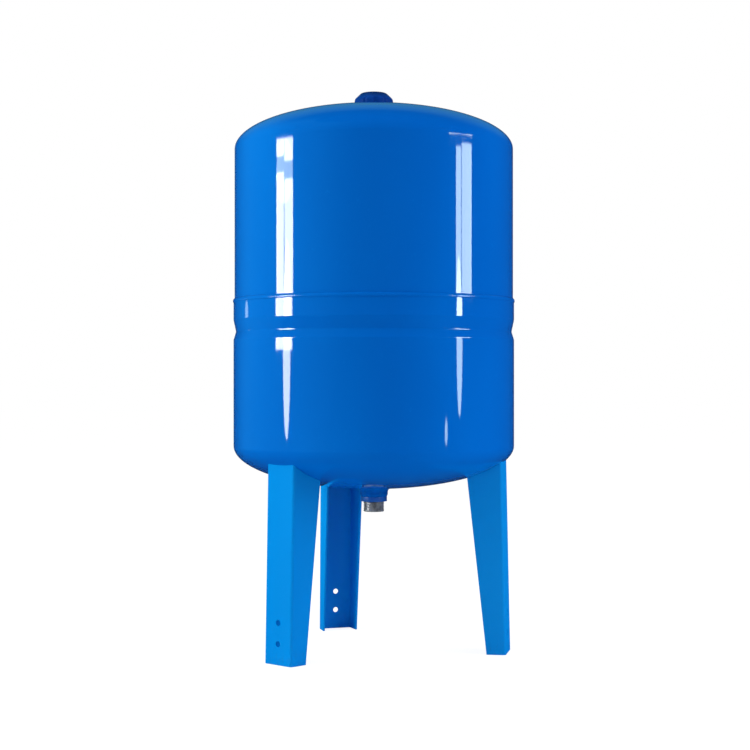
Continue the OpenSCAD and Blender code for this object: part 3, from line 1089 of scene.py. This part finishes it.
# Name, shape, angle, low end, high end, width, radiance, colour, distance
strips = [
    ("paneLeftA", "RECTANGLE", -75.75, 0.5, 0.912, 0.196, 19),
    ("paneLeftATop", "RECTANGLE", -75.75, 0.95, 0.991, 0.196, 19),
    ("paneLeftB", "RECTANGLE", -67.4, 0.5, 0.895, 0.209, 19),
    ("paneLeftBTop", "RECTANGLE", -67.4, 0.938, 0.991, 0.209, 19),
    ("paneLeftShade", "ELLIPSE", -71.6, 0.84, 0.99, 0.42, 8.5, sky),
    ("paneLeftTail", "ELLIPSE", -68.7, 0.29, 0.75, 0.183, 14),
    ("paneRightA", "RECTANGLE", 67.15, 0.53, 0.971, 0.128, 12, sky),
    ("paneRightB", "RECTANGLE", 75.05, 0.626, 0.98, 0.259, 12, sky),
    ("paneRightTail", "ELLIPSE", 67.3, 0.345, 0.715, 0.14, 11, sky),
    ("paneRightTop", "RECTANGLE", 69.5, 1.003, 1.035, 0.572, 30, sky),
    ("glintLeft", "ELLIPSE", -118, 0.56, 0.62, 0.14, 2.5, sky),
    ("glintRight", "ELLIPSE", 55.4, 0.272, 0.342, 0.06, 9, sky),
]
softs = [
    ("softLeft", "RECTANGLE", -76, 0.7, 2.3, 1.3, 8.7, (0.88, 1.0, 0.79), 2.4),
    ("softRight", "RECTANGLE", 74, 0.6, 2.2, 1.2, 4.9, (0.95, 0.98, 1.0), 2.4),
    ("softTop", "RECTANGLE", 0, 2.1, 3.5, 1.4, 1.5, (1, 1, 1), 0.6),
]


def seenRays(tree):
    # 1 for rays that show the backdrop: straight to the camera, or by gloss or through glass
    path = tree.nodes.new("ShaderNodeLightPath")
    camera, glossy, through = (Value(tree, path.outputs[name]) for name in (
        "Is Camera Ray", "Is Glossy Ray", "Is Transmission Ray"))
    return camera.largest(glossy).largest(through)


def addWorld():
    world = bpy.data.worlds.new("studioWorld")
    bpy.context.scene.world = world
    tree = Tree(world)
    light = tree.nodes["Background"]
    seen = seenRays(tree)
    tree.give(light.inputs["Color"], (1, 1, 1, 1))
    tree.give(light.inputs["Strength"], seen + studio["fill"] * (1 - seen))


def addFloor():
    deselectAll()
    bpy.ops.mesh.primitive_plane_add(size=40, location=(0, 0, 0))
    floor = bpy.context.object
    floor.name = "studioFloor"
    material, tree = makeFinish("floorWhite", {"Roughness": 1.0, "Specular IOR Level": 0.0})
    # Where it is seen, most of its white is glow, so that only a faint shadow stays
    seen = seenRays(tree)
    dress(tree, colour=tree.blend(seen, (0.87, 0.87, 0.87), (0.24, 0.24, 0.24)))
    glow = tree.add("ShaderNodeEmission", {},
                    {"Color": (1, 1, 1, 1), "Strength": seen * studio["floorGlow"]})
    both = tree.nodes.new("ShaderNodeAddShader")
    tree.links.new(tree.shader.outputs[0], both.inputs[0])
    tree.links.new(glow.socket, both.inputs[1])
    tree.links.new(both.outputs[0], tree.nodes["Material Output"].inputs["Surface"])
    floor.data.materials.append(material)


cards = {
    "r": 2.0,
    "wallTop": 5.0,
    "matZ": 2 * mm,
    "dark": (0.012, 0.014, 0.016),
    "lessDark": (0.016, 0.018, 0.02),
    "haze": (0.03, 0.22, 0.3),
    "sky": (0.05, 0.22, 0.27),
}


def darkCard(name, wall):
    material, tree = makeFinish(name, {"Roughness": 1.0, "Specular IOR Level": 0.0})
    dress(tree, colour=tree.blend(tree.cloud(5), cards["dark"], cards["lessDark"]))
    if wall:
        # A faint haze on the left, and pale sky high up behind the tank
        tree.shader.inputs["Emission Strength"].default_value = 1
        behind = tree.along(fromCamera(180, 1, 0))
        left = tree.along(fromCamera(-90, 1, 0)).ramp(0.5, 1.7) * (1 - behind.ramp(0.8, 1.7))
        z = tree.height()
        high = behind.ramp(0.9, 1.7) * z.ramp(1.2, 1.8) * (1 - z.ramp(2.3, 3.8))
        glow = tree.blend(left, (0, 0, 0), cards["haze"])
        tree.give(tree.shader.inputs["Emission Color"], tree.blend(high, glow, cards["sky"]))
    return material


def addDarkCards():
    # Dark cards round the set, seen only in reflections, keep the blue paint deep
    deselectAll()
    bpy.ops.mesh.primitive_cylinder_add(
        vertices=96, radius=cards["r"], depth=cards["wallTop"], end_fill_type="NOTHING",
        location=(0, 0, cards["wallTop"] / 2))
    wall = bpy.context.object
    bpy.ops.object.transform_apply(location=True)
    wall.name = "darkWall"
    wall.data.materials.append(darkCard("cardWall", True))
    plain = darkCard("cardPlain", False)
    for name, z in (("darkMat", cards["matZ"]), ("darkCeiling", cards["wallTop"])):
        deselectAll()
        bpy.ops.mesh.primitive_circle_add(
            vertices=96, radius=cards["r"], fill_type="NGON", location=(0, 0, z))
        bpy.context.object.name = name
        bpy.context.object.data.materials.append(plain)
    for name in ("darkWall", "darkMat", "darkCeiling"):
        card = bpy.data.objects[name]
        card.visible_camera = False
        card.visible_diffuse = False
        card.visible_transmission = False
        card.visible_shadow = False
        card.visible_volume_scatter = False


addCamera()
for strip in strips:
    addStrip(*strip)
for soft in softs:
    addSoft(*soft)
addWorld()
addFloor()
addDarkCards()
bpy.context.scene.view_settings.view_transform = "Standard"
deselectAll()
print("studio set")
